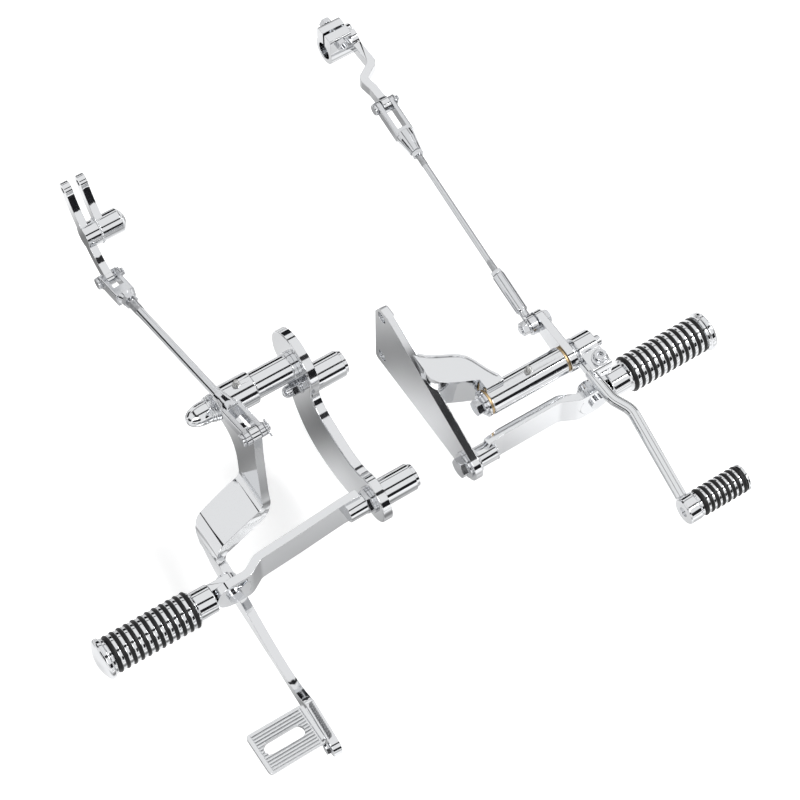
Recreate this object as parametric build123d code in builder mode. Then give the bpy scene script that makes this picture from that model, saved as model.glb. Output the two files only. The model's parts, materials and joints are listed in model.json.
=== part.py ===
import os
from math import asin, cos, sin

from build123d import *

# Motorcycle forward controls: the shift side (left) and the brake side (right).
# Millimetres. +X is forward, +Y is the rider's left, +Z is up. The origin is the
# middle of the two frame holes on the inboard face of the shift side plate.

# Fits shared by both sides
run_gap = 0.06
air = 0.3
hairline = 0.5

# Stock shared by both sides
tube_r = 14.3
shaft_r = 7.9
peg_bar_t = 8.6
peg_bar_h = 37.0
peg_bar_mid_z = -30.0

# Shift side plate
plate_t = 9.0
plate_hole_r = 6.35
plate_hole_gap = 69.0
plate_front_x = 150.0
plate_front_z = -31.0
plate_front_r = 18.0

# Pivot arm welded to the plate
arm_low_z = -8.0
arm_top_z = 30.0

# Shift cross shaft
shaft_x = 122.6
shaft_z = 10.0
shift_tube_y0 = 42.0
shift_tube_y1 = 128.5
bush_wall = 2.6
bush_flange_t = 2.2
bush_flange_r = 13.4

# Crank and rod end
crank_t = 9.0
crank_hub_r = 15.5
crank_y0 = shift_tube_y1 + bush_flange_t + air
crank_y1 = crank_y0 + crank_t
ball_x = 75.0
ball_z = 14.5
ball_half = 5.5
ball_r = 7.8
crank_bolt_r = 4.0
crank_eye_r = 10.5
ball_y = crank_y0 - ball_half
rod_end_t = 7.4

# Shift rod, from the ball centre to the clevis pin
shift_pin_x = -204.0
shift_pin_y = 135.0
shift_pin_z = 52.0
shift_rod_r = 3.2
sleeve_r = 6.5
sleeve_len = 62.0
fork_slot = 10.0
fork_w = 20.0
fork_h = 13.0
fork_depth = 33.0
fork_pin_r = 4.0

# Transmission lever
trans_x = -296.0
trans_z = 52.0
trans_bore_r = 9.5
trans_r = 15.0
trans_y0 = 120.0
trans_y1 = 146.0
trans_bar_t = 9.0
trans_bar_h = 12.0

# Toe lever and toe peg
toe_hub_y0 = 143.0
toe_hub_y1 = 165.0
toe_hub_r = 15.8
toe_bar_r = 6.0
toe_x = 318.5
toe_z = 0.0
toe_boss_y0 = 133.0
toe_boss_y1 = 147.0
toe_ring_count = 8
toe_ring_pitch = 6.3
toe_ring_r = 2.6
toe_ring_mid = 11.4

# Foot pegs, measured outward from the fold pin
peg_pin_r = 5.0
peg_end_r = 18.5
peg_tongue_r = 12.0
peg_tongue_t = 8.5
peg_sleeve_r = 14.5
peg_land_r = 16.75
peg_ring_r = 2.45
peg_ring_mid = 16.6
peg_ring_count = 12
peg_ring_pitch = 7.55
peg_first_ring = 43.5
left_peg_x = 151.5
left_pin_y = 146.5
right_peg_x = 141.0
right_pin_y = -260.0

# Brake side plate and frame spacers
frame_y = -50.0
bracket_y0 = -90.0
bracket_y1 = -100.0
spacer_r = 14.0
spacer_nose_r = 12.0
spacer_nose = 4.0
spacer_bolt_r = 5.5
upper_x = 8.6
upper_z = 10.0
lower_x = 135.0
lower_z = -25.0

# Brake pedal pivot
pivot_x = -4.0
pivot_z = 30.0
pivot_tube_y = -144.0
pedal_hub_r = 16.75
pedal_hub_y = -176.5
pedal_arm_t = 9.0
pedal_arm_y = pedal_hub_y - pedal_arm_t / 2
pivot_washer_t = 2.5

# Brake rod, from the front pin to the rear pin
front_pin_x = 63.8
front_pin_y = pedal_arm_y
front_pin_z = 71.4
rear_pin_x = -200.0
rear_pin_y = -192.0
rear_pin_z = 8.0
brake_rod_r = 4.75
brake_pin_r = 4.0
brake_fork_slot = 10.8
brake_fork_w = 20.8
brake_fork_h = 14.0

# Cross lever on the machine's own brake shaft
boss_x = -240.0
boss_z = 33.0
boss_r = 13.0
cross_tip_x = -272.0
cross_tip_z = 75.0
cross_bar_t = 8.0

# Brake lever, along its own slanting plane
pedal_step_y = -243.5
lever_x0 = 70.0
lever_drift = 0.05
lever_end = 247.0
lever_end_z = -65.0
lever_end_r = 9.5

# Brake pad
pad_x0 = 269.0
pad_x1 = 314.0
pad_y0 = -261.0
pad_y1 = -322.0
pad_z = -54.0
pad_t = 3.6
tray_t = 3.0
pad_slot_len = 42.0
pad_slot_w = 13.0
pad_slot_mid = ((pad_x0 + pad_x1) / 2, (pad_y0 + pad_y1) / 2 - 2)


def axis_y(x, z, y=0.0, way=1):
    return Plane(origin=(x, y, z), x_dir=(1, 0, 0), z_dir=(0, way, 0))


def side(y):
    return Plane(origin=(0, y, 0), x_dir=(1, 0, 0), z_dir=(0, -1, 0))


def turn(place, *profile, mode=Mode.ADD):
    flat = Plane(origin=place.origin, x_dir=place.x_dir, z_dir=-place.y_dir)
    with BuildSketch(flat) as half:
        with BuildLine():
            here = profile[0]
            for move in profile[1:]:
                there = move[-2:]
                if len(move) == 4:
                    ThreePointArc(here, move[:2], there)
                else:
                    Line(here, there)
                here = there
            Line(here, profile[0])
        make_face()
    revolve(half.sketch, axis=Axis(place.origin, place.z_dir), mode=mode)


def dome(radius, z0, rise):
    # the arc that closes a round end: its middle point, then its crown on the axis
    ball = (radius * radius + rise * rise) / (2 * rise)
    half = asin(radius / ball) / 2
    return ball * sin(half), z0 + rise - ball + ball * cos(half), 0, z0 + rise


def rod(place, z0, z1, radius, mode=Mode.ADD):
    with BuildSketch(place.offset(z0)) as disc:
        Circle(radius)
    extrude(disc.sketch, amount=z1 - z0, mode=mode)


def ring(place, z0, z1, outer, inner):
    with BuildSketch(place.offset(z0)) as disc:
        Circle(outer)
        Circle(inner, mode=Mode.SUBTRACT)
    extrude(disc.sketch, amount=z1 - z0)


def hexagon(place, z0, z1, flats, bore=0.0, spin=0.0):
    # six sides with the corners turned down to a cone at the outer end
    with BuildPart() as nut:
        with BuildSketch(place.offset(z0)) as disc:
            RegularPolygon(flats / 2, 6, major_radius=False, rotation=spin)
            if bore:
                Circle(bore, mode=Mode.SUBTRACT)
        extrude(disc.sketch, amount=z1 - z0)
        corner = flats * 0.578
        keep = corner - flats / 2
        turn(
            place,
            (0, z0),
            (corner + 1, z0),
            (corner + 1, z1 - keep * 0.6),
            (flats / 2 - 0.4, z1),
            (0, z1),
            mode=Mode.INTERSECT,
        )
    add(nut.part)


def block(x0, x1, y0, y1, z0, z1, mode=Mode.ADD):
    with Locations(((x0 + x1) / 2, (y0 + y1) / 2, (z0 + z1) / 2)):
        Box(abs(x1 - x0), abs(y1 - y0), abs(z1 - z0), mode=mode)


def across_x(x0, x1, y, z, radius, mode=Mode.ADD):
    with Locations(((x0 + x1) / 2, y, z)):
        Cylinder(radius, abs(x1 - x0), rotation=(0, 90, 0), mode=mode)


def flat_strip(points, bend, width, z0, z1):
    # a flat bar seen from above: its middle line, its thickness and its height
    with BuildSketch(Plane.XY.offset(z0)) as seen:
        with BuildLine():
            FilletPolyline(*points, radius=bend)
        trace(line_width=width)
    extrude(seen.sketch, amount=z1 - z0)


# Shift side: plate, welded arm and pivot tube

with BuildPart() as shift_side_plate:
    with BuildSketch(side(0)) as outline:
        with Locations((-6.5, -44)):
            Circle(5)
        with Locations((-7.5, 32)):
            Circle(4)
        with Locations((-1, 41)):
            Circle(5)
        with Locations((9, 40)):
            Circle(6)
        with Locations((plate_front_x, plate_front_z)):
            Circle(plate_front_r)
        make_hull()
    extrude(outline.sketch, amount=-plate_t)
    fillet(shift_side_plate.edges().filter_by_position(Axis.Y, plate_t - 0.1, plate_t + 0.1), 1.5)
    with BuildSketch(Plane.XY.offset(arm_low_z)) as arm:
        with BuildLine():
            Spline((50, 4), (62, 22), (78, 46), (95, 54), (115, 62))
            Line((115, 62), (120, 62))
            Line((120, 62), (120, 42.5))
            Line((120, 42.5), (108, 42.5))
            Spline((108, 42.5), (97, 20), (84, 5), (69, 4))
            Line((69, 4), (50, 4))
        make_face()
    extrude(arm.sketch, amount=arm_top_z - arm_low_z)
    with BuildSketch(Plane.XY.offset(arm_top_z)) as rim:
        with BuildLine():
            Spline((52, 8), (64, 23), (79, 45), (95, 52), (113, 60))
        trace(line_width=2.4)
    extrude(rim.sketch, amount=1.4)
    block(40, 130, -20, 0, -60, 60, mode=Mode.SUBTRACT)
    rod(axis_y(shaft_x, shaft_z), 40, 130, tube_r, mode=Mode.SUBTRACT)
    for hole_z in (-plate_hole_gap / 2, plate_hole_gap / 2):
        rod(axis_y(0, hole_z), -1, plate_t + 1, plate_hole_r, mode=Mode.SUBTRACT)
    rod(axis_y(plate_front_x, plate_front_z), -1, plate_t + 1, 6.0, mode=Mode.SUBTRACT)

bush_r = shaft_r + run_gap + bush_wall
with BuildPart() as shift_pivot_tube:
    place = axis_y(shaft_x, shaft_z)
    turn(
        place,
        (bush_r, shift_tube_y0),
        (tube_r - 0.8, shift_tube_y0),
        (tube_r, shift_tube_y0 + 0.8),
        (tube_r, shift_tube_y1 - 0.8),
        (tube_r - 0.8, shift_tube_y1),
        (bush_r, shift_tube_y1),
        (bush_r, shift_tube_y1 - 28),
        (bush_r - 1.4, shift_tube_y1 - 28),
        (bush_r - 1.4, shift_tube_y0 + 28),
        (bush_r, shift_tube_y0 + 28),
    )
    grease_y = 89.0
    rod(Plane.XY.move(Location((shaft_x, grease_y, 0))), shaft_z, shaft_z + 20, 2.5, mode=Mode.SUBTRACT)

with BuildPart() as shift_pivot_bushes:
    place = axis_y(shaft_x, shaft_z)
    inner = shaft_r + run_gap
    turn(
        place,
        (inner, shift_tube_y0 - bush_flange_t),
        (bush_flange_r, shift_tube_y0 - bush_flange_t),
        (bush_flange_r, shift_tube_y0),
        (bush_r, shift_tube_y0),
        (bush_r, shift_tube_y0 + 27),
        (inner, shift_tube_y0 + 27),
    )
    turn(
        place,
        (inner, shift_tube_y1 + bush_flange_t),
        (bush_flange_r, shift_tube_y1 + bush_flange_t),
        (bush_flange_r, shift_tube_y1),
        (bush_r, shift_tube_y1),
        (bush_r, shift_tube_y1 - 27),
        (inner, shift_tube_y1 - 27),
    )

with BuildPart() as shift_grease_fitting:
    seat = shaft_z + tube_r
    place = Plane(origin=(shaft_x, grease_y, 0), x_dir=(1, 0, 0), z_dir=(0, 0, 1))
    rod(place, seat - 3.5, seat + 0.2, 2.5)
    hexagon(place, seat + 0.2, seat + 3.2, 7.0)
    turn(
        place,
        (0, seat + 3.2),
        (2.4, seat + 3.2),
        (1.7, seat + 5.2),
        (2.5, seat + 6.2),
        (2.0, seat + 8.0),
        (0, seat + 8.4),
    )

# Shift side: everything that turns with the cross shaft

with BuildPart() as shift_shaft:
    turn(
        axis_y(shaft_x, shaft_z),
        (0, 34.6),
        (shaft_r, 34.6),
        (shaft_r, 166.5),
        (shaft_r - 1.2, 167.7),
        (5.6, 167.7),
        (5.6, 172.5),
        dome(5.6, 172.5, 2.6),
    )

with BuildPart() as shift_shaft_washers:
    flange_y = shift_tube_y0 - bush_flange_t - air
    ring(axis_y(shaft_x, shaft_z), flange_y - 2.5, flange_y, 14.0, shaft_r)
    ring(axis_y(shaft_x, shaft_z), flange_y - 4.9, flange_y - 2.5, 11.0, shaft_r)
    ring(axis_y(shaft_x, shaft_z), crank_y1 + 0.1, toe_hub_y0, 12.4, shaft_r)

with BuildPart() as shift_shaft_bolt:
    hexagon(axis_y(shaft_x, shaft_z, 34.6, way=-1), 0, 7.5, 15.0, spin=10)

with BuildPart() as shift_crank:
    with BuildSketch(side(crank_y0)) as outline:
        with Locations((shaft_x, shaft_z)):
            Circle(crank_hub_r)
        with Locations((ball_x, ball_z)):
            Circle(crank_eye_r)
        make_hull()
        with Locations((shaft_x, shaft_z)):
            Circle(shaft_r, mode=Mode.SUBTRACT)
        with Locations((ball_x, ball_z)):
            Circle(crank_bolt_r, mode=Mode.SUBTRACT)
    extrude(outline.sketch, amount=-crank_t)
    rims = shift_crank.edges().filter_by_position(Axis.Y, crank_y1 - 0.1, crank_y1 + 0.1)
    fillet(rims.sort_by(SortBy.LENGTH)[2:], 1.4)

with BuildPart() as crank_bolt:
    bolt_place = axis_y(ball_x, ball_z)
    hexagon(bolt_place, crank_y1, crank_y1 + 5.6, 13.0, spin=12)
    rod(bolt_place, ball_y - ball_half - 8.2, crank_y1, crank_bolt_r)
    hexagon(axis_y(ball_x, ball_z, ball_y - ball_half, way=-1), 0, 6.6, 13.0, crank_bolt_r, 20)

with BuildPart() as rod_end_ball:
    with Locations((ball_x, ball_y, ball_z)):
        Sphere(ball_r)
    block(ball_x - 9, ball_x + 9, ball_y - 12, ball_y - ball_half, ball_z - 9, ball_z + 9, mode=Mode.SUBTRACT)
    block(ball_x - 9, ball_x + 9, ball_y + ball_half, ball_y + 12, ball_z - 9, ball_z + 9, mode=Mode.SUBTRACT)
    rod(axis_y(ball_x, ball_z), ball_y - 12, ball_y + 12, crank_bolt_r, mode=Mode.SUBTRACT)

with BuildPart() as toe_shift_lever:
    hub = axis_y(shaft_x, shaft_z)
    turn(
        hub,
        (0, toe_hub_y0),
        (toe_hub_r - 1, toe_hub_y0),
        (toe_hub_r, toe_hub_y0 + 1),
        (toe_hub_r, toe_hub_y1 - 1),
        (toe_hub_r - 1, toe_hub_y1),
        (0, toe_hub_y1),
    )
    with BuildSketch(side(toe_hub_y0)) as lug:
        with Locations((shaft_x + 16, shaft_z)):
            RectangleRounded(34, 22, 3.5)
    extrude(lug.sketch, amount=-(toe_hub_y1 - toe_hub_y0))
    with BuildLine() as way:
        FilletPolyline(
            (148, 145, 7), (185, 145, 9), (205, 153.5, 9), (toe_x - 10, 140.5, toe_z), radius=24
        )
    with BuildSketch(Plane(origin=way.line @ 0, z_dir=way.line % 0)) as start:
        Circle(toe_bar_r)
    sweep(start.sketch, path=way.line)
    toe = axis_y(toe_x, toe_z)
    turn(
        toe,
        (0, toe_boss_y0),
        (12.6, toe_boss_y0),
        (14, toe_boss_y0 + 1.4),
        (14, toe_boss_y1 - 1.4),
        (12.6, toe_boss_y1),
        (0, toe_boss_y1),
    )
    rod(hub, toe_hub_y0 - 1, toe_hub_y1 + 1, shaft_r, mode=Mode.SUBTRACT)
    block(shaft_x, shaft_x + 60, toe_hub_y0 + 9, toe_hub_y1 + 2, shaft_z - 1.2, shaft_z + 1.2, mode=Mode.SUBTRACT)
    block(
        shaft_x + shaft_r - 1, shaft_x + 28, toe_hub_y0 - 2, toe_hub_y0 + 9, shaft_z - 1.2, shaft_z + 1.2,
        mode=Mode.SUBTRACT,
    )
    pinch = Plane(origin=(shaft_x + 23.6, 156.5, 0), x_dir=(1, 0, 0), z_dir=(0, 0, 1))
    rod(pinch, shaft_z - 20, shaft_z + 20, 4.0, mode=Mode.SUBTRACT)
    rod(toe, toe_boss_y0 - 1, toe_boss_y1 + 1, 5.0, mode=Mode.SUBTRACT)

with BuildPart() as toe_lever_pinch_bolt:
    rod(pinch, shaft_z - 11, shaft_z + 11, 4.0)
    turn(
        pinch,
        (0, shaft_z + 11),
        (8.6, shaft_z + 11),
        (8.6, shaft_z + 12.6),
        (6.6, shaft_z + 13),
        (6.6, shaft_z + 18.4),
        (5.8, shaft_z + 19.2),
        (3.0, shaft_z + 19.2),
        (3.0, shaft_z + 15.6),
        (0, shaft_z + 15.6),
    )
    hexagon(Plane(origin=pinch.origin, x_dir=(1, 0, 0), z_dir=(0, 0, -1)), 11 - shaft_z, 15 - shaft_z, 12.0)

toe_first = toe_boss_y1 + 3.2 + toe_ring_r
toe_last = toe_first + toe_ring_pitch * (toe_ring_count - 1)
with BuildPart() as toe_peg:
    rod(toe, toe_boss_y0 + 2, toe_boss_y1, 5.0)
    rod(toe, toe_boss_y1, toe_last + toe_ring_r + 0.6, toe_ring_mid)
    turn(
        toe,
        (0, toe_boss_y1),
        (13.2, toe_boss_y1),
        (13.2, toe_boss_y1 + 2.6),
        (0, toe_boss_y1 + 2.6),
    )
    for n in range(toe_ring_count):
        mid = toe_first + n * toe_ring_pitch
        with BuildSketch(toe.offset(mid - toe_ring_r)) as groove:
            Circle(toe_ring_mid + 3)
            Circle(toe_ring_mid - toe_ring_r, mode=Mode.SUBTRACT)
        extrude(groove.sketch, amount=2 * toe_ring_r, mode=Mode.SUBTRACT)
    cap_y = toe_last + toe_ring_r + 0.6
    turn(
        toe,
        (0, cap_y),
        (13.4, cap_y),
        (14.0, cap_y + 0.6),
        (14.0, cap_y + 2.4),
        dome(14.0, cap_y + 2.4, 3.8),
    )

with BuildPart() as toe_peg_rings:
    for n in range(toe_ring_count):
        with Locations((toe_x, toe_first + n * toe_ring_pitch, toe_z)):
            Torus(toe_ring_mid, toe_ring_r, rotation=(90, 0, 0))

# Shift side: rod, clevis and transmission lever

ball_point = Vector(ball_x, ball_y, ball_z)
shift_pin_point = Vector(shift_pin_x, shift_pin_y, shift_pin_z)
shift_len = (shift_pin_point - ball_point).length
shift_way = (shift_pin_point - ball_point).normalized()
shift_side_way = Vector(0, 0, -1).cross(shift_way).normalized()
shift_line = Plane(origin=ball_point, x_dir=shift_side_way, z_dir=shift_way)

with BuildPart() as rod_end:
    ring(axis_y(ball_x, ball_z), ball_y - rod_end_t / 2, ball_y + rod_end_t / 2, crank_eye_r, 2.0)
    turn(
        shift_line,
        (0, 5),
        (4.6, 5),
        (4.6, 15),
        (sleeve_r, 17.5),
        (sleeve_r, sleeve_len - 1),
        (sleeve_r - 1, sleeve_len),
        (0, sleeve_len),
    )
    with Locations((ball_x, ball_y, ball_z)):
        Sphere(ball_r + air, mode=Mode.SUBTRACT)
    rod(shift_line, 36, sleeve_len + 1, shift_rod_r, mode=Mode.SUBTRACT)

with BuildPart() as shift_rod:
    rod(shift_line, 36.5, shift_len - 45, shift_rod_r)

with BuildPart() as shift_rod_nuts:
    hexagon(shift_line, sleeve_len + 0.1, sleeve_len + 4.6, 11.0, shift_rod_r, 8)
    hexagon(shift_line, shift_len - 67, shift_len - 62, 11.0, shift_rod_r, 20)

with BuildPart() as shift_clevis:
    turn(
        shift_line,
        (0, shift_len - 61.9),
        (6.6, shift_len - 61.9),
        (7.4, shift_len - 56),
        (9.6, shift_len - 44),
        (9.6, shift_len - 38),
        (0, shift_len - 38),
    )
    with BuildSketch(shift_line.offset(shift_len - 40)) as bar:
        RectangleRounded(fork_w, fork_h, 2)
    extrude(bar.sketch, amount=40)
    rod(Plane(origin=shift_pin_point, x_dir=shift_line.z_dir, z_dir=shift_line.x_dir), -fork_w / 2, fork_w / 2, fork_h / 2)
    tail = shift_line.offset(shift_len - fork_depth)
    with BuildSketch(tail) as gap:
        Rectangle(fork_slot, fork_h + 10)
    extrude(gap.sketch, amount=fork_depth + 20, mode=Mode.SUBTRACT)
    rod(shift_line, shift_len - 63, shift_len - 44.5, shift_rod_r, mode=Mode.SUBTRACT)
    rod(axis_y(shift_pin_x, shift_pin_z), shift_pin_y - 20, shift_pin_y + 20, fork_pin_r, mode=Mode.SUBTRACT)

with BuildPart() as shift_clevis_pin:
    place = axis_y(shift_pin_x, shift_pin_z)
    turn(
        place,
        (0, shift_pin_y - 13.6),
        (5.2, shift_pin_y - 13.6),
        (6.2, shift_pin_y - 12.8),
        (6.2, shift_pin_y - 10.5),
        (fork_pin_r, shift_pin_y - 10.5),
        (fork_pin_r, shift_pin_y + 14),
        (fork_pin_r - 0.8, shift_pin_y + 14.8),
        (0, shift_pin_y + 14.8),
    )
    ring(place, shift_pin_y + 10.6, shift_pin_y + 12.2, 6.4, fork_pin_r)

with BuildPart() as transmission_lever:
    lever_z0 = trans_z - trans_bar_h / 2
    flat_strip(
        ((shift_pin_x - 5, shift_pin_y), (-226, shift_pin_y), (-241, 132.5), (-254, 151.5), (trans_x, 151)),
        5,
        trans_bar_t - 0.4,
        lever_z0,
        lever_z0 + trans_bar_h,
    )
    rod(axis_y(shift_pin_x, shift_pin_z), shift_pin_y - 4.3, shift_pin_y + 4.3, 8.4)
    rod(axis_y(trans_x, trans_z), trans_y0, 155.4, trans_r)
    with BuildSketch(side(trans_y0)) as lobes:
        with Locations((trans_x, trans_z + 12)):
            RectangleRounded(26, 28, 4)
    extrude(lobes.sketch, amount=-(trans_y1 - trans_y0))
    rod(axis_y(trans_x, trans_z), trans_y0 - 1, 157, trans_bore_r, mode=Mode.SUBTRACT)
    block(trans_x - 1.5, trans_x + 1.5, trans_y0 - 1, 158, trans_z, trans_z + 40, mode=Mode.SUBTRACT)
    rod(
        axis_y(shift_pin_x, shift_pin_z), shift_pin_y - 20, shift_pin_y + 20, fork_pin_r + run_gap,
        mode=Mode.SUBTRACT,
    )
    clamp_bolt_z = trans_z + 18.5
    clamp_bolt_y = (trans_y0 + trans_y1) / 2
    across_x(trans_x - 20, trans_x + 20, clamp_bolt_y, clamp_bolt_z, 4.0, mode=Mode.SUBTRACT)

with BuildPart() as transmission_lever_bolt:
    across_x(trans_x - 13, trans_x + 15.5, clamp_bolt_y, clamp_bolt_z, 4.0)
    hexagon(
        Plane(origin=(trans_x - 13, clamp_bolt_y, clamp_bolt_z), x_dir=(0, 1, 0), z_dir=(-1, 0, 0)), 0, 6, 12.0
    )
    hexagon(
        Plane(origin=(trans_x + 13, clamp_bolt_y, clamp_bolt_z), x_dir=(0, 1, 0), z_dir=(1, 0, 0)),
        0, 5.5, 12.0, 4.0, 15,
    )

# Left foot peg and its support bar

with BuildPart() as left_peg_bar:
    bar_low = peg_bar_mid_z - peg_bar_h / 2
    end_x = left_peg_x + 0.25 + peg_bar_t / 2
    flat_strip(
        ((149, 24), (147, 42), (147, 110), (end_x, 128), (end_x, left_pin_y)),
        14,
        peg_bar_t,
        bar_low,
        bar_low + peg_bar_h,
    )
    across_x(end_x - peg_bar_t / 2, end_x + peg_bar_t / 2, left_pin_y, peg_bar_mid_z, peg_end_r)
    rod(axis_y(plate_front_x, plate_front_z), plate_t + 2.5, 32, 10.8)
    across_x(end_x - 20, end_x + 20, left_pin_y, peg_bar_mid_z, peg_pin_r, mode=Mode.SUBTRACT)
    rod(axis_y(plate_front_x, plate_front_z), plate_t, 28, 6.0, mode=Mode.SUBTRACT)

with BuildPart() as left_peg_bolt:
    place = axis_y(plate_front_x, plate_front_z)
    rod(place, 0, 27.5, 6.0)
    ring(place, -2.5, 0, 14.0, 6.0)
    hexagon(axis_y(plate_front_x, plate_front_z, -2.5, way=-1), 0, 7.0, 19.0, spin=14)
    rod(place, -2.5, 0, 6.0)
    ring(place, plate_t, plate_t + 2.5, 14.0, 6.0)

# Brake side: curved plate, spacers and pivot

with BuildPart() as brake_side_plate:
    with BuildSketch(side(bracket_y0)) as outline:
        with BuildLine():
            ThreePointArc((-38, 12), (-22, 61), (28, 46))
            Spline((28, 46), (31, 34), (30, 19), (40, 4), (60, -4), (93, -11), (118, -6.5))
            ThreePointArc((118, -6.5), (160, -28), (130, -50.5))
            Spline((130, -50.5), (112, -66), (88, -75), (55, -77), (29, -71), (10, -58), (-6, -36), (-38, 12))
        make_face()
        with Locations((upper_x, upper_z), (lower_x, lower_z)):
            Circle(spacer_bolt_r, mode=Mode.SUBTRACT)
        with Locations((pivot_x, pivot_z)):
            Circle(shaft_r, mode=Mode.SUBTRACT)
    extrude(outline.sketch, amount=bracket_y0 - bracket_y1)
    rims = brake_side_plate.edges().filter_by_position(Axis.Y, bracket_y1 - 0.1, bracket_y1 + 0.1)
    fillet(rims.filter_by(lambda edge: edge.length > 50 and not edge.is_closed), 1.6)

with BuildPart() as frame_spacers:
    for sx, sz in ((upper_x, upper_z), (lower_x, lower_z)):
        turn(
            axis_y(sx, sz),
            (spacer_bolt_r + 0.8, frame_y),
            (spacer_nose_r, frame_y),
            (spacer_nose_r, frame_y - spacer_nose),
            (spacer_r, frame_y - spacer_nose),
            (spacer_r, bracket_y0),
            (spacer_bolt_r, bracket_y0),
            (spacer_bolt_r, frame_y - 14),
            (spacer_bolt_r + 0.8, frame_y - 14),
        )

with BuildPart() as spacer_cap_bolt:
    place = axis_y(upper_x, upper_z, way=-1)
    rod(place, 66, 100, spacer_bolt_r)
    rod(place, 100, 101.6, 8.2)
    hexagon(place, 101.6, 110, 13.0, spin=8)
    turn(place, (0, 110), (6.2, 110), (6.2, 113.5), dome(6.2, 113.5, 5.4))

with BuildPart() as brake_pivot_tube:
    turn(
        axis_y(pivot_x, pivot_z, way=-1),
        (shaft_r, -bracket_y1),
        (15.0, -bracket_y1),
        (15.0, 103.8),
        (14.4, 104.4),
        (tube_r - 0.3, 104.4),
        (tube_r - 0.3, -pivot_tube_y),
        (shaft_r, -pivot_tube_y),
    )

nut_y = -pedal_hub_y + pedal_arm_t + air + pivot_washer_t
with BuildPart() as brake_pivot_shaft:
    place = axis_y(pivot_x, pivot_z, way=-1)
    rod(place, -bracket_y0 - 3, nut_y + 14, shaft_r)
    ring(place, -bracket_y0 - 3, -bracket_y0, 9.3, shaft_r)

with BuildPart() as brake_pivot_washer:
    ring(axis_y(pivot_x, pivot_z, way=-1), nut_y - pivot_washer_t, nut_y, 14.0, shaft_r)

with BuildPart() as brake_acorn_nut:
    place = axis_y(pivot_x, pivot_z, way=-1)
    hexagon(place, nut_y, nut_y + 13, 23.0, spin=6)
    turn(place, (0, nut_y + 12), (10.6, nut_y + 12), (10.6, nut_y + 19), dome(10.6, nut_y + 19, 10.4))
    rod(place, nut_y - 1, nut_y + 14, shaft_r, mode=Mode.SUBTRACT)

# Brake pedal: hub, flat arm stepped outward by two bends, deep tapering lever

with BuildPart() as brake_pedal:
    # the arm's outline from the side, kept only where the bent plate runs
    with BuildSketch(side(-170)) as outline:
        with BuildLine():
            ThreePointArc((6.9, 38.1), (-16.8, 25.5), (2.3, 18))
            Spline((2.3, 18), (24, 9), (32, -20), (35, -46), (46, -62), (58, -84))
            Line((58, -84), (96, -84))
            Spline((96, -84), (90, -64), (79, -44), (74, -12), (71.4, 40), (71.3, 71.4))
            ThreePointArc((71.3, 71.4), (63.8, 78.9), (56.6, 74))
            Spline((56.6, 74), (52, 60), (40, 50), (24, 44.6), (6.9, 38.1))
        make_face()
    extrude(outline.sketch, amount=90)
    with BuildSketch(Plane(origin=(-40, 0, 0), x_dir=(0, 1, 0), z_dir=(1, 0, 0))) as strip:
        with BuildLine():
            FilletPolyline(
                (pedal_arm_y, 95), (pedal_arm_y, -47), (pedal_step_y, -64), (pedal_step_y, -120), radius=13
            )
        trace(line_width=pedal_arm_t)
    extrude(strip.sketch, amount=160, mode=Mode.INTERSECT)
    lever_plane = Plane(
        origin=(lever_x0, pedal_step_y + pedal_arm_t / 2, 0), x_dir=(1, -lever_drift, 0), z_dir=(-lever_drift, -1, 0)
    )
    bolt_face = Plane(
        origin=(lever_x0 + lever_end * 0.9987, pedal_step_y + pedal_arm_t / 2 - lever_end * lever_drift, lever_end_z),
        x_dir=lever_plane.x_dir,
        z_dir=lever_plane.z_dir,
    )
    with BuildSketch(lever_plane) as outline:
        with BuildLine():
            Spline((-13, -72), (-6, -86), (14, -96.5), (52, -94.5), tangents=((0, -1), (1, 0.04)))
            Line((52, -94.5), (lever_end, lever_end_z - lever_end_r))
            ThreePointArc(
                (lever_end, lever_end_z - lever_end_r),
                (lever_end + lever_end_r, lever_end_z),
                (lever_end, lever_end_z + lever_end_r),
            )
            Line((lever_end, lever_end_z + lever_end_r), (202, lever_end_z + lever_end_r))
            Spline((202, lever_end_z + lever_end_r), (190, -63.5), (60, -65.5), (22, -67), (13, -72))
            Line((13, -72), (-13, -72))
        make_face()
    extrude(outline.sketch, amount=pedal_arm_t)
    hub_place = axis_y(pivot_x, pivot_z, way=-1)
    turn(
        hub_place,
        (0, 0.5 - pivot_tube_y),
        (pedal_hub_r - 0.8, 0.5 - pivot_tube_y),
        (pedal_hub_r, 1.3 - pivot_tube_y),
        (pedal_hub_r, -pedal_hub_y - 0.8),
        (pedal_hub_r - 0.8, -pedal_hub_y),
        (13.6, -pedal_hub_y),
        (13.6, -pedal_hub_y + pedal_arm_t),
        (0, -pedal_hub_y + pedal_arm_t),
    )
    # the tray under the pad, welded to the lever's outboard face
    with BuildSketch(Plane.XY.offset(pad_z - pad_t - tray_t)) as tray:
        with Locations(((pad_x0 + pad_x1) / 2, (pad_y0 + 5 + pad_y1 + 2) / 2)):
            RectangleRounded(pad_x1 - pad_x0 - 8, pad_y0 + 5 - pad_y1 - 2, 4)
        with Locations(pad_slot_mid):
            SlotOverall(pad_slot_len + 3, pad_slot_w + 3, rotation=90, mode=Mode.SUBTRACT)
    extrude(tray.sketch, amount=tray_t)
    grease_place = Plane(origin=(pivot_x, -161, 0), x_dir=(1, 0, 0), z_dir=(0, 0, 1))
    rod(grease_place, pivot_z, pivot_z + 20, 2.5, mode=Mode.SUBTRACT)
    rod(hub_place, 140, 200, shaft_r + run_gap, mode=Mode.SUBTRACT)
    rod(axis_y(front_pin_x, front_pin_z), front_pin_y - 9, front_pin_y + 9, brake_pin_r + run_gap, mode=Mode.SUBTRACT)
    rod(bolt_face, -3, 12, 3.0, mode=Mode.SUBTRACT)

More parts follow.
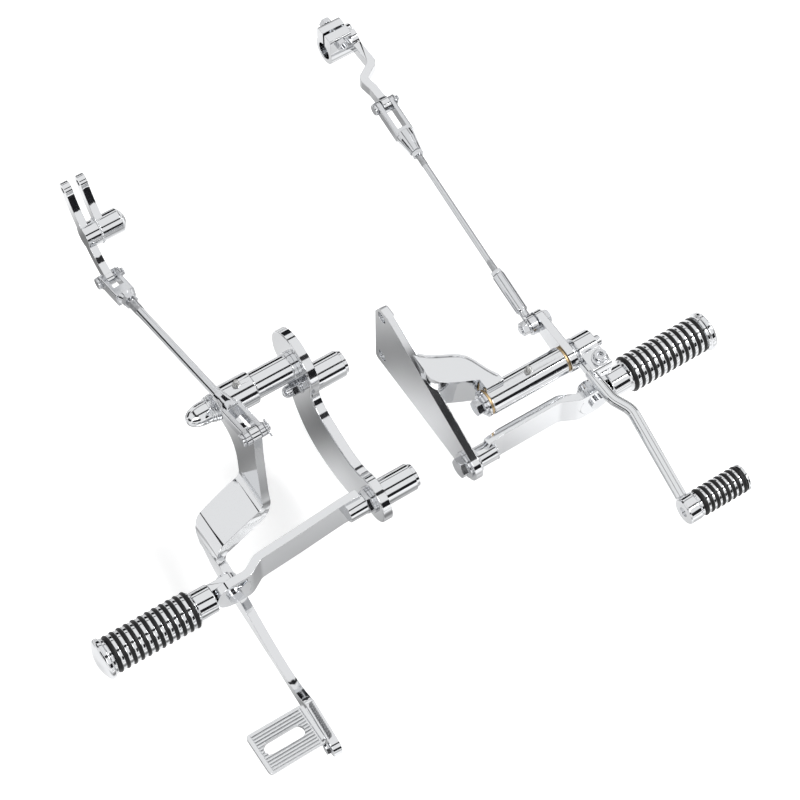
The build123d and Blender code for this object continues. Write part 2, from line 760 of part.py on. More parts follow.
with BuildPart() as brake_lever_bolt:
    rod(bolt_face, -1, pedal_arm_t, 3.0)
    hexagon(bolt_face, pedal_arm_t, pedal_arm_t + 4.6, 10.0, spin=9)

with BuildPart() as brake_grease_fitting:
    seat = pivot_z + pedal_hub_r
    place = grease_place
    rod(place, seat - 4, seat + 0.3, 2.5)
    hexagon(place, seat + 0.3, seat + 3, 7.0)
    turn(
        place,
        (0, seat + 3),
        (2.4, seat + 3),
        (1.7, seat + 5),
        (2.5, seat + 6),
        (2.0, seat + 7.8),
        (0, seat + 8.2),
    )

with BuildPart() as brake_pad:
    block(pad_x0, pad_x1, pad_y0, pad_y1, pad_z - pad_t, pad_z)
    outer = brake_pad.edges().filter_by(Axis.Z)
    fillet(outer, 4)
    n_ribs = 13
    for n in range(n_ribs):
        rx = pad_x0 + 3.2 + n * (pad_x1 - pad_x0 - 6.4) / (n_ribs - 1)
        block(rx - 0.9, rx + 0.9, pad_y1 + 4, pad_y0 - 5.5, pad_z, pad_z + 1.6)
    block(pad_x0 + 3, pad_x1 - 3, pad_y0 - 4, pad_y0, pad_z, pad_z + 2.8)
    with BuildSketch(Plane.XY.offset(pad_z - pad_t - 1)) as slot:
        with Locations(pad_slot_mid):
            SlotOverall(pad_slot_len, pad_slot_w, rotation=90)
    extrude(slot.sketch, amount=20, mode=Mode.SUBTRACT)

# Brake rod with a fork at each end

front_point = Vector(front_pin_x, front_pin_y, front_pin_z)
rear_point = Vector(rear_pin_x, rear_pin_y, rear_pin_z)
brake_len = (rear_point - front_point).length
brake_way = (rear_point - front_point).normalized()
brake_side_way = Vector(0, 0, -1).cross(brake_way).normalized()
brake_line = Plane(origin=front_point, x_dir=brake_side_way, z_dir=brake_way)

with BuildPart() as brake_rod:
    rod(brake_line, 51, brake_len - 27, brake_rod_r)

with BuildPart() as brake_front_clevis:
    turn(
        brake_line,
        (0, 36),
        (9.8, 36),
        (9.8, 43),
        (7.0, 56),
        (7.0, 63),
        (0, 63),
    )
    with BuildSketch(brake_line) as bar:
        RectangleRounded(brake_fork_w, brake_fork_h, 2)
    extrude(bar.sketch, amount=40)
    rod(
        Plane(origin=front_point, x_dir=brake_line.z_dir, z_dir=brake_line.x_dir),
        -brake_fork_w / 2, brake_fork_w / 2, brake_fork_h / 2,
    )
    with BuildSketch(brake_line.offset(-15)) as gap:
        Rectangle(brake_fork_slot, brake_fork_h + 10)
    extrude(gap.sketch, amount=50, mode=Mode.SUBTRACT)
    rod(brake_line, 50.5, 64, brake_rod_r, mode=Mode.SUBTRACT)
    rod(axis_y(front_pin_x, front_pin_z), front_pin_y - 20, front_pin_y + 20, brake_pin_r, mode=Mode.SUBTRACT)

with BuildPart() as brake_rear_clevis:
    with BuildSketch(brake_line.offset(brake_len - 34)) as bar:
        RectangleRounded(brake_fork_w, brake_fork_h, 2)
    extrude(bar.sketch, amount=34)
    turn(brake_line, (0, brake_len - 38), (6.4, brake_len - 38), (9, brake_len - 34), (0, brake_len - 34))
    rod(
        Plane(origin=rear_point, x_dir=brake_line.z_dir, z_dir=brake_line.x_dir),
        -brake_fork_w / 2, brake_fork_w / 2, brake_fork_h / 2,
    )
    with BuildSketch(brake_line.offset(brake_len - 22)) as gap:
        Rectangle(brake_fork_slot, brake_fork_h + 10)
    extrude(gap.sketch, amount=44, mode=Mode.SUBTRACT)
    rod(brake_line, brake_len - 39, brake_len - 26.5, brake_rod_r, mode=Mode.SUBTRACT)
    rod(axis_y(rear_pin_x, rear_pin_z), rear_pin_y - 20, rear_pin_y + 20, brake_pin_r, mode=Mode.SUBTRACT)

with BuildPart() as brake_rod_nut:
    hexagon(brake_line, brake_len - 44, brake_len - 38.1, 14.0, brake_rod_r, 5)

with BuildPart() as brake_rod_pins:
    for px, py, pz in ((front_pin_x, front_pin_y, front_pin_z), (rear_pin_x, rear_pin_y, rear_pin_z)):
        place = axis_y(px, pz, py, way=1)
        turn(
            place,
            (0, -14.0),
            (5.4, -14.0),
            (6.4, -13.2),
            (6.4, -11.2),
            (brake_pin_r, -11.2),
            (brake_pin_r, 15.6),
            (brake_pin_r - 0.8, 16.4),
            (0, 16.4),
        )
        ring(place, 11.2, 12.6, 6.6, brake_pin_r)

with BuildPart() as brake_cross_lever:
    tip = (cross_tip_x, cross_tip_z)
    with BuildSketch(side(rear_pin_y + cross_bar_t / 2)) as outer_bar:
        with BuildLine():
            Spline((rear_pin_x, rear_pin_z), (-222, 17), (boss_x, boss_z), (-259, 54), tip)
        trace(line_width=14)
        with Locations((rear_pin_x, rear_pin_z), tip):
            Circle(7.6)
        with Locations((boss_x, boss_z)):
            Circle(boss_r)
    extrude(outer_bar.sketch, amount=cross_bar_t)
    inner_y = rear_pin_y + cross_bar_t / 2 + 9
    with BuildSketch(side(inner_y + cross_bar_t)) as inner_bar:
        with BuildLine():
            Spline((boss_x + 4, boss_z - 4), (boss_x, boss_z), (-259, 54), tip)
        trace(line_width=14)
        with Locations(tip):
            Circle(7.6)
        with Locations((boss_x, boss_z)):
            Circle(boss_r)
    extrude(inner_bar.sketch, amount=cross_bar_t)
    boss_place = axis_y(boss_x, boss_z)
    turn(
        boss_place,
        (0, rear_pin_y),
        (boss_r, rear_pin_y),
        (boss_r, -156),
        dome(boss_r, -156, 6.5),
    )
    across = axis_y(cross_tip_x, cross_tip_z)
    rod(across, rear_pin_y - 20, rear_pin_y + 40, 3.2, mode=Mode.SUBTRACT)
    rod(
        axis_y(rear_pin_x, rear_pin_z), rear_pin_y - 20, rear_pin_y + 20, brake_pin_r + run_gap,
        mode=Mode.SUBTRACT,
    )

# Right foot peg and its support bar

with BuildPart() as right_peg_bar:
    right_end_x = right_peg_x + 0.25 + peg_bar_t / 2
    flat_strip(
        (
            (128.5, bracket_y1 - 10),
            (129, -130),
            (133, -180),
            (136, right_pin_y + 34),
            (right_end_x, right_pin_y + 18),
            (right_end_x, right_pin_y),
        ),
        14,
        peg_bar_t,
        bar_low,
        bar_low + peg_bar_h,
    )
    across_x(right_end_x - peg_bar_t / 2, right_end_x + peg_bar_t / 2, right_pin_y, peg_bar_mid_z, peg_end_r)
    rod(axis_y(lower_x, lower_z, way=-1), 107.5, 127, 10.8)
    across_x(right_end_x - 20, right_end_x + 20, right_pin_y, peg_bar_mid_z, peg_pin_r, mode=Mode.SUBTRACT)
    rod(axis_y(lower_x, lower_z, way=-1), 95, 122, spacer_bolt_r, mode=Mode.SUBTRACT)

with BuildPart() as right_peg_bolt:
    place = axis_y(lower_x, lower_z, way=-1)
    rod(place, 66, 121.5, spacer_bolt_r)
    ring(place, 100, 102.5, 14.0, spacer_bolt_r)
    hexagon(place, 102.5, 107.5, 22.0, spacer_bolt_r, 10)

# Foot pegs: the same peg on both sides, turned outward from its own fold pin


def fold_pin(bar_x, pin_y):
    back = bar_x - peg_bar_t / 2 - 0.5 - peg_tongue_t
    front = bar_x + peg_bar_t / 2
    across_x(back - 1.2, front + 1.2, pin_y, peg_bar_mid_z, peg_pin_r)
    across_x(back - 4.4, back - 1.2, pin_y, peg_bar_mid_z, 7.6)
    across_x(front, front + 3.4, pin_y, peg_bar_mid_z, 7.6)


def foot_peg(peg_x, pin_y, way):
    place = axis_y(peg_x, peg_bar_mid_z, pin_y, way)
    last = peg_first_ring + peg_ring_pitch * (peg_ring_count - 1)
    shoulder = peg_end_r + hairline
    turn(
        place,
        (0, shoulder),
        (peg_sleeve_r - 1, shoulder),
        (peg_sleeve_r, shoulder + 1),
        (peg_sleeve_r, peg_first_ring - 5.5),
        (peg_land_r, peg_first_ring - 3.6),
        (peg_land_r, last + 3.4),
        (0, last + 3.4),
    )
    tongue_x1 = peg_x - 0.25
    tongue_x0 = tongue_x1 - peg_tongue_t
    reach = pin_y + way * (shoulder + 2)
    block(tongue_x0, tongue_x1, pin_y, reach, peg_bar_mid_z - peg_tongue_r, peg_bar_mid_z + peg_tongue_r)
    across_x(tongue_x0, tongue_x1, pin_y, peg_bar_mid_z, peg_tongue_r)
    across_x(peg_x - 30, peg_x + 30, pin_y, peg_bar_mid_z, peg_pin_r + run_gap, mode=Mode.SUBTRACT)
    for n in range(peg_ring_count):
        mid = peg_first_ring + n * peg_ring_pitch
        with BuildSketch(place.offset(mid - peg_ring_r)) as groove:
            Circle(peg_land_r + 3)
            Circle(peg_ring_mid - peg_ring_r, mode=Mode.SUBTRACT)
        extrude(groove.sketch, amount=2 * peg_ring_r, mode=Mode.SUBTRACT)


def foot_peg_rings(peg_x, pin_y, way):
    for n in range(peg_ring_count):
        mid = pin_y + way * (peg_first_ring + n * peg_ring_pitch)
        with Locations((peg_x, mid, peg_bar_mid_z)):
            Torus(peg_ring_mid, peg_ring_r, rotation=(90, 0, 0))


def foot_peg_cap(peg_x, pin_y, way):
    place = axis_y(peg_x, peg_bar_mid_z, pin_y, way)
    start = peg_first_ring + peg_ring_pitch * (peg_ring_count - 1) + 3.4
    turn(
        place,
        (0, start),
        (18.6, start),
        (18.6, start + 2.4),
        (20.2, start + 3.2),
        (20.8, start + 4.2),
        (20.8, start + 7.0),
        (19.6, start + 8.6),
        dome(19.6, start + 8.6, 5.4),
    )


with BuildPart() as left_peg_pin:
    fold_pin(end_x, left_pin_y)

with BuildPart() as right_peg_pin:
    fold_pin(right_end_x, right_pin_y)

with BuildPart() as left_foot_peg:
    foot_peg(left_peg_x, left_pin_y, 1)

with BuildPart() as right_foot_peg:
    foot_peg(right_peg_x, right_pin_y, -1)

with BuildPart() as left_peg_rings:
    foot_peg_rings(left_peg_x, left_pin_y, 1)

with BuildPart() as right_peg_rings:
    foot_peg_rings(right_peg_x, right_pin_y, -1)

with BuildPart() as left_peg_cap:
    foot_peg_cap(left_peg_x, left_pin_y, 1)

with BuildPart() as right_peg_cap:
    foot_peg_cap(right_peg_x, right_pin_y, -1)

os.makedirs("parts", exist_ok=True)

shift_side_plate.part.label = "shift_side_plate"
export_step(shift_side_plate.part, "parts/shift_side_plate.step")
shift_pivot_tube.part.label = "shift_pivot_tube"
export_step(shift_pivot_tube.part, "parts/shift_pivot_tube.step")
shift_pivot_bushes.part.label = "shift_pivot_bushes"
export_step(shift_pivot_bushes.part, "parts/shift_pivot_bushes.step")
shift_grease_fitting.part.label = "shift_grease_fitting"
export_step(shift_grease_fitting.part, "parts/shift_grease_fitting.step")
shift_shaft.part.label = "shift_shaft"
export_step(shift_shaft.part, "parts/shift_shaft.step")
shift_shaft_washers.part.label = "shift_shaft_washers"
export_step(shift_shaft_washers.part, "parts/shift_shaft_washers.step")
shift_shaft_bolt.part.label = "shift_shaft_bolt"
export_step(shift_shaft_bolt.part, "parts/shift_shaft_bolt.step")
shift_crank.part.label = "shift_crank"
export_step(shift_crank.part, "parts/shift_crank.step")
crank_bolt.part.label = "crank_bolt"
export_step(crank_bolt.part, "parts/crank_bolt.step")
rod_end_ball.part.label = "rod_end_ball"
export_step(rod_end_ball.part, "parts/rod_end_ball.step")
toe_shift_lever.part.label = "toe_shift_lever"
export_step(toe_shift_lever.part, "parts/toe_shift_lever.step")
toe_lever_pinch_bolt.part.label = "toe_lever_pinch_bolt"
export_step(toe_lever_pinch_bolt.part, "parts/toe_lever_pinch_bolt.step")
toe_peg.part.label = "toe_peg"
export_step(toe_peg.part, "parts/toe_peg.step")
toe_peg_rings.part.label = "toe_peg_rings"
export_step(toe_peg_rings.part, "parts/toe_peg_rings.step")
rod_end.part.label = "rod_end"
export_step(rod_end.part, "parts/rod_end.step")
shift_rod.part.label = "shift_rod"
export_step(shift_rod.part, "parts/shift_rod.step")
shift_rod_nuts.part.label = "shift_rod_nuts"
export_step(shift_rod_nuts.part, "parts/shift_rod_nuts.step")
shift_clevis.part.label = "shift_clevis"
export_step(shift_clevis.part, "parts/shift_clevis.step")
shift_clevis_pin.part.label = "shift_clevis_pin"
export_step(shift_clevis_pin.part, "parts/shift_clevis_pin.step")
transmission_lever.part.label = "transmission_lever"
export_step(transmission_lever.part, "parts/transmission_lever.step")
transmission_lever_bolt.part.label = "transmission_lever_bolt"
export_step(transmission_lever_bolt.part, "parts/transmission_lever_bolt.step")
left_peg_bar.part.label = "left_peg_bar"
export_step(left_peg_bar.part, "parts/left_peg_bar.step")
left_peg_bolt.part.label = "left_peg_bolt"
export_step(left_peg_bolt.part, "parts/left_peg_bolt.step")
left_peg_pin.part.label = "left_peg_pin"
export_step(left_peg_pin.part, "parts/left_peg_pin.step")
left_foot_peg.part.label = "left_foot_peg"
export_step(left_foot_peg.part, "parts/left_foot_peg.step")
left_peg_rings.part.label = "left_peg_rings"
export_step(left_peg_rings.part, "parts/left_peg_rings.step")
left_peg_cap.part.label = "left_peg_cap"
export_step(left_peg_cap.part, "parts/left_peg_cap.step")
brake_side_plate.part.label = "brake_side_plate"
export_step(brake_side_plate.part, "parts/brake_side_plate.step")
frame_spacers.part.label = "frame_spacers"
export_step(frame_spacers.part, "parts/frame_spacers.step")
spacer_cap_bolt.part.label = "spacer_cap_bolt"
export_step(spacer_cap_bolt.part, "parts/spacer_cap_bolt.step")
brake_pivot_tube.part.label = "brake_pivot_tube"
export_step(brake_pivot_tube.part, "parts/brake_pivot_tube.step")
brake_pivot_shaft.part.label = "brake_pivot_shaft"
export_step(brake_pivot_shaft.part, "parts/brake_pivot_shaft.step")
brake_pivot_washer.part.label = "brake_pivot_washer"
export_step(brake_pivot_washer.part, "parts/brake_pivot_washer.step")
brake_acorn_nut.part.label = "brake_acorn_nut"
export_step(brake_acorn_nut.part, "parts/brake_acorn_nut.step")
brake_pedal.part.label = "brake_pedal"
export_step(brake_pedal.part, "parts/brake_pedal.step")
brake_grease_fitting.part.label = "brake_grease_fitting"
export_step(brake_grease_fitting.part, "parts/brake_grease_fitting.step")
brake_pad.part.label = "brake_pad"
export_step(brake_pad.part, "parts/brake_pad.step")
brake_lever_bolt.part.label = "brake_lever_bolt"
export_step(brake_lever_bolt.part, "parts/brake_lever_bolt.step")
brake_rod.part.label = "brake_rod"
export_step(brake_rod.part, "parts/brake_rod.step")
brake_front_clevis.part.label = "brake_front_clevis"
export_step(brake_front_clevis.part, "parts/brake_front_clevis.step")
brake_rear_clevis.part.label = "brake_rear_clevis"
export_step(brake_rear_clevis.part, "parts/brake_rear_clevis.step")
brake_rod_nut.part.label = "brake_rod_nut"
export_step(brake_rod_nut.part, "parts/brake_rod_nut.step")
brake_rod_pins.part.label = "brake_rod_pins"
export_step(brake_rod_pins.part, "parts/brake_rod_pins.step")
brake_cross_lever.part.label = "brake_cross_lever"
export_step(brake_cross_lever.part, "parts/brake_cross_lever.step")
right_peg_bar.part.label = "right_peg_bar"
export_step(right_peg_bar.part, "parts/right_peg_bar.step")
right_peg_bolt.part.label = "right_peg_bolt"
export_step(right_peg_bolt.part, "parts/right_peg_bolt.step")
right_peg_pin.part.label = "right_peg_pin"
export_step(right_peg_pin.part, "parts/right_peg_pin.step")
right_foot_peg.part.label = "right_foot_peg"
export_step(right_foot_peg.part, "parts/right_foot_peg.step")
right_peg_rings.part.label = "right_peg_rings"
export_step(right_peg_rings.part, "parts/right_peg_rings.step")
right_peg_cap.part.label = "right_peg_cap"
export_step(right_peg_cap.part, "parts/right_peg_cap.step")
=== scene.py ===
import json
import math

import bmesh
import bpy
from mathutils import Matrix, Vector


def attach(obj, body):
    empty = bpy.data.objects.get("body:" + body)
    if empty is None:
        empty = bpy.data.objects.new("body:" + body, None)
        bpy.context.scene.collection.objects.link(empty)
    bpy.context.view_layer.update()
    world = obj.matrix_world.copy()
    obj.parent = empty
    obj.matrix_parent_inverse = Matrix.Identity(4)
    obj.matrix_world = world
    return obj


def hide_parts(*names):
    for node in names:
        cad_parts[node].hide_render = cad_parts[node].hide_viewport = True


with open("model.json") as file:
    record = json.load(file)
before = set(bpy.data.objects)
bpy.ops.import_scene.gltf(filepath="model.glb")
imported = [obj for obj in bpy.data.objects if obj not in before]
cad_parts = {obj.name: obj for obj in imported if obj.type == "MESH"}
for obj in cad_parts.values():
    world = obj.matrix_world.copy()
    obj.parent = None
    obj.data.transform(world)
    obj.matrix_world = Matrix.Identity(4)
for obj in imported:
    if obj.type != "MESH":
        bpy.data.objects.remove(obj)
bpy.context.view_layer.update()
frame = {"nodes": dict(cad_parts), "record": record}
nodes = frame["nodes"]
mm = 0.001
print("frame loaded:", len(nodes), "nodes")


# finishes

def newNode(tree, kind, values=None):
    node = tree.nodes.new(kind)
    for label, value in (values or {}).items():
        node.inputs[label].default_value = value
    return node


def wire(tree, *links):
    for start, output, end, entry in links:
        tree.links.new(start.outputs[output], end.inputs[entry])


def addNoise(tree, scale, detail):
    coord = newNode(tree, "ShaderNodeTexCoord")
    noise = newNode(tree, "ShaderNodeTexNoise", {"Scale": scale, "Detail": detail})
    wire(tree, (coord, "Object", noise, "Vector"))
    return noise


def makeFinish(name, look):
    mat = bpy.data.materials.new(name)
    mat.use_nodes = True
    tree = mat.node_tree
    shader = tree.nodes["Principled BSDF"]
    shader.inputs["Base Color"].default_value = (*look["colour"], 1)
    shader.inputs["Metallic"].default_value = look["metallic"]
    shader.inputs["Roughness"].default_value = look["roughness"]
    if "sheen" in look:
        shader.inputs["Specular IOR Level"].default_value = look["sheen"]
    if "patches" in look:  # duller and brighter patches
        patches = look["patches"]
        noise = addNoise(tree, patches["scale"], 3.0)
        spread = newNode(tree, "ShaderNodeMapRange", {
            "From Min": 0.3, "From Max": 0.7,  # most of the noise lies between these
            "To Min": patches["low"], "To Max": patches["high"]})
        wire(tree, (noise, "Fac", spread, "Value"), (spread, "Result", shader, "Roughness"))
    if "grain" in look:
        grain = look["grain"]
        noise = addNoise(tree, grain["scale"], 2.0)
        bump = newNode(tree, "ShaderNodeBump", {"Distance": grain["depth"], "Strength": grain["strength"]})
        wire(tree, (noise, "Fac", bump, "Height"), (bump, "Normal", shader, "Normal"))
    return mat


finishes = {
    "polished chrome": {"colour": (0.74, 0.75, 0.765), "metallic": 1.0, "roughness": 0.06,
                        "patches": {"scale": 22.0, "low": 0.045, "high": 0.095}},
    "bolt chrome": {"colour": (0.66, 0.67, 0.69), "metallic": 1.0, "roughness": 0.12,
                    "patches": {"scale": 60.0, "low": 0.09, "high": 0.17}},
    "bearing bronze": {"colour": (0.55, 0.40, 0.22), "metallic": 1.0, "roughness": 0.32,
                       "grain": {"scale": 900.0, "depth": 0.0001, "strength": 0.4}},
    "zinc plate": {"colour": (0.50, 0.50, 0.49), "metallic": 1.0, "roughness": 0.26,
                   "patches": {"scale": 200.0, "low": 0.22, "high": 0.34}},
    "ring rubber": {"colour": (0.006, 0.006, 0.0065), "metallic": 0.0, "roughness": 0.42, "sheen": 0.28,
                    "patches": {"scale": 90.0, "low": 0.34, "high": 0.46}},
    "thread steel": {"colour": (0.36, 0.365, 0.375), "metallic": 1.0, "roughness": 0.28},
}
chrome, boltChrome, bronze, zinc, rubber, threadSteel = [
    makeFinish(name, look) for name, look in finishes.items()]

slotFinish = {
    "plate": chrome,
    "bright": boltChrome,
    "bronze": bronze,
    "zinc": zinc,
    "ring_rubber": rubber,
}
nodeSlot = {s["node"]: s["material_slot"] for s in frame["record"]["subparts"]}
nodeBody = {}
for body, members in frame["record"]["behaviour"]["bodies"].items():
    for member in members:
        nodeBody[member] = body
for name, node in nodes.items():
    if not node.material_slots:
        node.data.materials.append(slotFinish[nodeSlot[name]])
    for holder in node.material_slots:
        holder.material = slotFinish[nodeSlot[name]]
print("materials set")


# pieces

def addPiece(name, mesh, body, mat, replaced=()):
    obj = bpy.data.objects.new(name, mesh)
    bpy.context.scene.collection.objects.link(obj)
    mesh.materials.clear()
    mesh.materials.append(mat)
    for face in mesh.polygons:
        face.material_index = 0
    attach(obj, body)
    if replaced:
        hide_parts(*replaced)


def finalMesh(obj):
    depsgraph = bpy.context.evaluated_depsgraph_get()
    mesh = bpy.data.meshes.new_from_object(obj.evaluated_get(depsgraph))
    bpy.data.objects.remove(obj)
    return mesh


def turnTo(way, along="Z", up="Y"):
    return Vector(way).to_track_quat(along, up).to_matrix().to_4x4()


def placeAlong(origin, way, along="Z", up="Y"):  # origin in mm
    return Matrix.Translation(Vector(origin) * mm) @ turnTo(way, along, up)


# smooth copies of the plated parts
polish = {
    "mergeWithin": 0.002,  # mm
    "sharpAngle": 32.0,    # degrees, above it an edge stays crisp
    "flatAngle": 0.1,      # degrees, faces closer than this become one
    "edgeWidth": 0.3,      # mm, the rounding of a crisp edge
    "edgeSteps": 2,
    "normalWeight": 75,
    "keptPlain": {"shift_grease_fitting", "brake_grease_fitting"},
    "madeAnew": {"brake_acorn_nut"},
}


def polishedCopy(name, edgeWidth):
    mesh = nodes[name].data.copy()
    work = bmesh.new()
    work.from_mesh(mesh)
    bmesh.ops.remove_doubles(work, verts=work.verts, dist=polish["mergeWithin"] * mm)
    bmesh.ops.dissolve_limit(
        work,
        angle_limit=math.radians(polish["flatAngle"]),
        verts=work.verts,
        edges=work.edges,
    )
    work.to_mesh(mesh)
    work.free()
    mesh.shade_smooth()
    mesh.set_sharp_from_angle(angle=math.radians(polish["sharpAngle"]))
    rough = bpy.data.objects.new("rough", mesh)
    bpy.context.scene.collection.objects.link(rough)
    if edgeWidth:
        bevel = rough.modifiers.new("edge", "BEVEL")
        bevel.width = edgeWidth * mm
        bevel.segments = polish["edgeSteps"]
        bevel.limit_method = "ANGLE"
        bevel.angle_limit = math.radians(polish["sharpAngle"])
        bevel.use_clamp_overlap = False
    weigh = rough.modifiers.new("normals", "WEIGHTED_NORMAL")
    weigh.keep_sharp = True
    weigh.weight = polish["normalWeight"]
    final = finalMesh(rough)
    # a bevel may overshoot at a tight corner: it is held to the box of its node
    corners = [Vector(c) for c in nodes[name].bound_box]
    low = [min(c[k] for c in corners) for k in range(3)]
    high = [max(c[k] for c in corners) for k in range(3)]
    for vertex in final.vertices:
        vertex.co = [min(max(vertex.co[k], low[k]), high[k]) for k in range(3)]
    slot = nodeSlot[name]
    addPiece(name + "_polished", final, nodeBody[name], slotFinish[slot], (name,))


for name in sorted(nodes):
    if nodeSlot[name] != "ring_rubber" and name not in polish["madeAnew"]:
        polishedCopy(name, 0 if name in polish["keptPlain"] else polish["edgeWidth"])
print("plated parts polished")


# node trees for what repeats

def newTree(name, sizes):
    tree = bpy.data.node_groups.new(name, "GeometryNodeTree")
    for label, kind in (*sizes, ("Finish", "Material")):
        tree.interface.new_socket(name=label, in_out="INPUT", socket_type="NodeSocket" + kind)
    tree.interface.new_socket(name="Geometry", in_out="OUTPUT", socket_type="NodeSocketGeometry")
    return tree, newNode(tree, "NodeGroupInput")


def endTree(tree, source, geometry):
    real = newNode(tree, "GeometryNodeRealizeInstances")
    paint = newNode(tree, "GeometryNodeSetMaterial")
    sink = newNode(tree, "NodeGroupOutput")
    tree.links.new(geometry, real.inputs[0])
    wire(tree, (real, 0, paint, "Geometry"), (source, "Finish", paint, "Material"), (paint, 0, sink, 0))


def runTree(tree, values, place):
    holder = bpy.data.objects.new("holder", bpy.data.meshes.new("holder"))
    bpy.context.scene.collection.objects.link(holder)
    maker = holder.modifiers.new("maker", "NODES")
    maker.node_group = tree
    for item in tree.interface.items_tree:
        if item.in_out == "INPUT":
            maker[item.identifier] = values[item.name]
    mesh = finalMesh(holder)
    mesh.transform(place)
    mesh.shade_smooth()
    return mesh


def repeatAlong(tree, source, axis, single):
    line = newNode(tree, "GeometryNodeMeshLine")
    step = newNode(tree, "ShaderNodeCombineXYZ")
    spread = newNode(tree, "GeometryNodeInstanceOnPoints")
    wire(tree, (source, "Count", line, "Count"), (source, "Pitch", step, axis), (step, 0, line, "Offset"),
         (line, 0, spread, "Points"))
    tree.links.new(single, spread.inputs["Instance"])
    return spread


def sweepHoop(tree, source, profile):
    hoop = newNode(tree, "GeometryNodeCurvePrimitiveCircle", {"Resolution": 96})
    tube = newNode(tree, "GeometryNodeCurveToMesh")
    wire(tree, (source, "Hoop Radius", hoop, "Radius"), (hoop, 0, tube, "Curve"))
    tree.links.new(profile, tube.inputs["Profile Curve"])
    return tube.outputs[0]


# rubber rings on the three pegs, mm
pegRings = {
    "left_peg_rings": {"start": (151.5, 190.0, -30.0), "way": (0, 1, 0), "count": 12, "pitch": 7.55,
                       "ring": 16.6, "cord": 2.45},
    "right_peg_rings": {"start": (141.0, -303.5, -30.0), "way": (0, -1, 0), "count": 12, "pitch": 7.55,
                        "ring": 16.6, "cord": 2.45},
    "toe_peg_rings": {"start": (318.5, 152.8, 0.0), "way": (0, 1, 0), "count": 8, "pitch": 6.3,
                      "ring": 11.4, "cord": 2.6},
}
ringTree, source = newTree("ringStack", [
    ("Count", "Int"), ("Pitch", "Float"), ("Hoop Radius", "Float"), ("Cord Radius", "Float")])
cord = newNode(ringTree, "GeometryNodeCurvePrimitiveCircle", {"Resolution": 28})
wire(ringTree, (source, "Cord Radius", cord, "Radius"))
stack = repeatAlong(ringTree, source, "Z", sweepHoop(ringTree, source, cord.outputs[0]))
endTree(ringTree, source, stack.outputs[0])
for name, ring in pegRings.items():
    mesh = runTree(ringTree, {
        "Count": ring["count"],
        "Pitch": ring["pitch"] * mm,
        "Hoop Radius": ring["ring"] * mm,
        "Cord Radius": ring["cord"] * mm,
        "Finish": rubber,
    }, placeAlong(ring["start"], ring["way"]))
    addPiece(name + "_round", mesh, nodeBody[name], rubber, (name,))
print("rubber rings made")

# chrome ribs standing between the rubber rings, mm
pegRibs = {
    "left_peg_ribs": {"rings": "left_peg_rings", "outer": 18.2, "height": 2.0, "width": 4.0, "edge": 0.7},
    "right_peg_ribs": {"rings": "right_peg_rings", "outer": 18.2, "height": 2.0, "width": 4.0, "edge": 0.7},
    "toe_peg_ribs": {"rings": "toe_peg_rings", "outer": 13.1, "height": 2.0, "width": 3.1, "edge": 0.7},
}
ribTree, source = newTree("ribStack", [
    ("Count", "Int"), ("Pitch", "Float"), ("Hoop Radius", "Float"),
    ("Width", "Float"), ("Height", "Float"), ("Edge", "Float")])
section = newNode(ribTree, "GeometryNodeCurvePrimitiveQuadrilateral")
soften = newNode(ribTree, "GeometryNodeFilletCurve")
soften.mode = "POLY"
soften.inputs["Count"].default_value = 4
wire(ribTree, (source, "Height", section, "Width"), (source, "Width", section, "Height"),
     (section, 0, soften, "Curve"), (source, "Edge", soften, "Radius"))
stack = repeatAlong(ribTree, source, "Z", sweepHoop(ribTree, source, soften.outputs[0]))
endTree(ribTree, source, stack.outputs[0])
for name, rib in pegRibs.items():
    ring = pegRings[rib["rings"]]
    first = Vector(ring["start"]) + Vector(ring["way"]) * ring["pitch"] / 2
    mesh = runTree(ribTree, {
        "Count": ring["count"] - 1,
        "Pitch": ring["pitch"] * mm,
        "Hoop Radius": (rib["outer"] - rib["height"] / 2) * mm,
        "Width": rib["width"] * mm,
        "Height": rib["height"] * mm,
        "Edge": rib["edge"] * mm,
        "Finish": chrome,
    }, placeAlong(first, ring["way"]))
    addPiece(name, mesh, nodeBody[rib["rings"]], chrome)
print("chrome ribs made")

# rolled threads, one helix each, mm
rodEnds = {
    "shift": {"front": Vector((75, 125.5, 14.5)), "rear": Vector((-204, 135, 52))},
    "brake": {"front": Vector((63.8, -181, 71.4)), "rear": Vector((-200, -192, 8))},
}
thread = {"pitch": 1.1, "ridge": 0.42, "sunk": 0.1}
threadRuns = {
    "shift_rod_front_thread": {"rod": "shift", "fromFront": 67, "length": 12.0, "radius": 3.2,
                               "body": "shift_linkage"},
    "shift_rod_rear_thread": {"rod": "shift", "fromRear": 80, "length": 12.5, "radius": 3.2,
                              "body": "shift_linkage"},
    "brake_rod_rear_thread": {"rod": "brake", "fromRear": 62, "length": 17.5, "radius": 4.75,
                              "body": "brake_linkage"},
}
threadTree, source = newTree("rolledThread", [
    ("Turns", "Float"), ("Length", "Float"), ("Radius", "Float"), ("Ridge", "Float")])
helix = newNode(threadTree, "GeometryNodeCurveSpiral", {"Resolution": 28})
ridge = newNode(threadTree, "GeometryNodeCurvePrimitiveCircle", {"Resolution": 4})
tube = newNode(threadTree, "GeometryNodeCurveToMesh", {"Fill Caps": True})
wire(threadTree, (source, "Turns", helix, "Rotations"), (source, "Length", helix, "Height"),
     (source, "Radius", helix, "Start Radius"), (source, "Radius", helix, "End Radius"),
     (source, "Ridge", ridge, "Radius"), (helix, 0, tube, "Curve"), (ridge, 0, tube, "Profile Curve"))
endTree(threadTree, source, tube.outputs[0])
